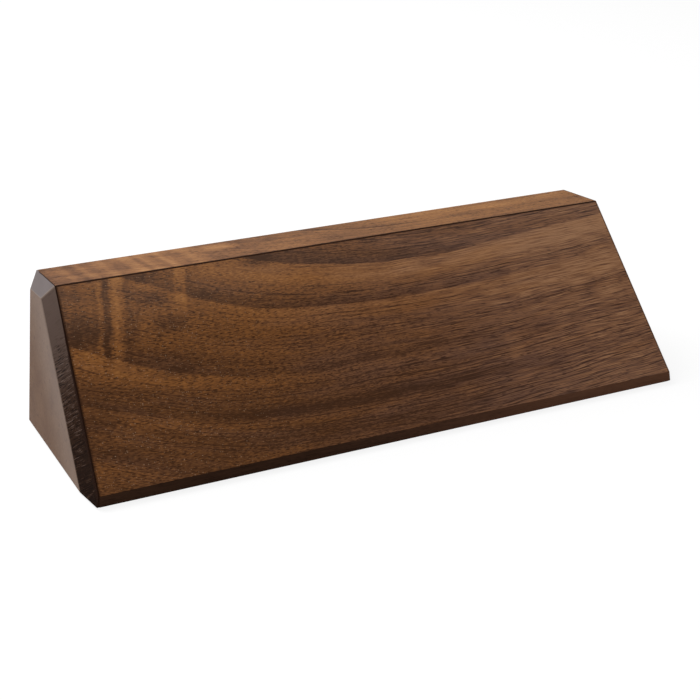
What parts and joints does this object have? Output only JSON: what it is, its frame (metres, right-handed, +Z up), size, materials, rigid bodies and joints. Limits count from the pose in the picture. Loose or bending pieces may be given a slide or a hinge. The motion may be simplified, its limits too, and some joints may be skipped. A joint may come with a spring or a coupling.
{
  "type": "desk name plate",
  "caption": "Wedge-shaped walnut desk name plate with a slanted bare face, a narrow top and bevelled ends, built hollow from boards.",
  "frame": {"origin": "on the desk, under the middle of the plate's footprint", "axes": "+X along the plate, left to right seen from the front; -Y towards the reader, where the slanted face looks; +Z up"},
  "size_m": [0.216, 0.0698, 0.0558],
  "materials": {
    "walnut_face": "satin lacquered walnut, flat-sawn figure along the length",
    "walnut_rail": "satin lacquered walnut, lighter straight grain",
    "walnut_back": "satin lacquered walnut",
    "walnut_end": "satin lacquered walnut, end grain, sanded bevels",
    "dark_base": "dark stained, matt lacquer",
    "inner_poplar": "planed, unfinished",
    "beech_spline": "planed, unfinished",
    "screw_steel": "zinc plated",
    "felt": "pressed felt"
  },
  "bodies": {
    "root": {"front_panel": "walnut_face", "top_rail": "walnut_rail", "back_panel": "walnut_back", "base_panel": "dark_base", "left_end_board": "inner_poplar", "right_end_board": "inner_poplar", "left_end_cap": "walnut_end", "right_end_cap": "walnut_end", "mitre_spline": "beech_spline", "base_screws": "screw_steel", "felt_pads": "felt"}
  },
  "joints": []
}
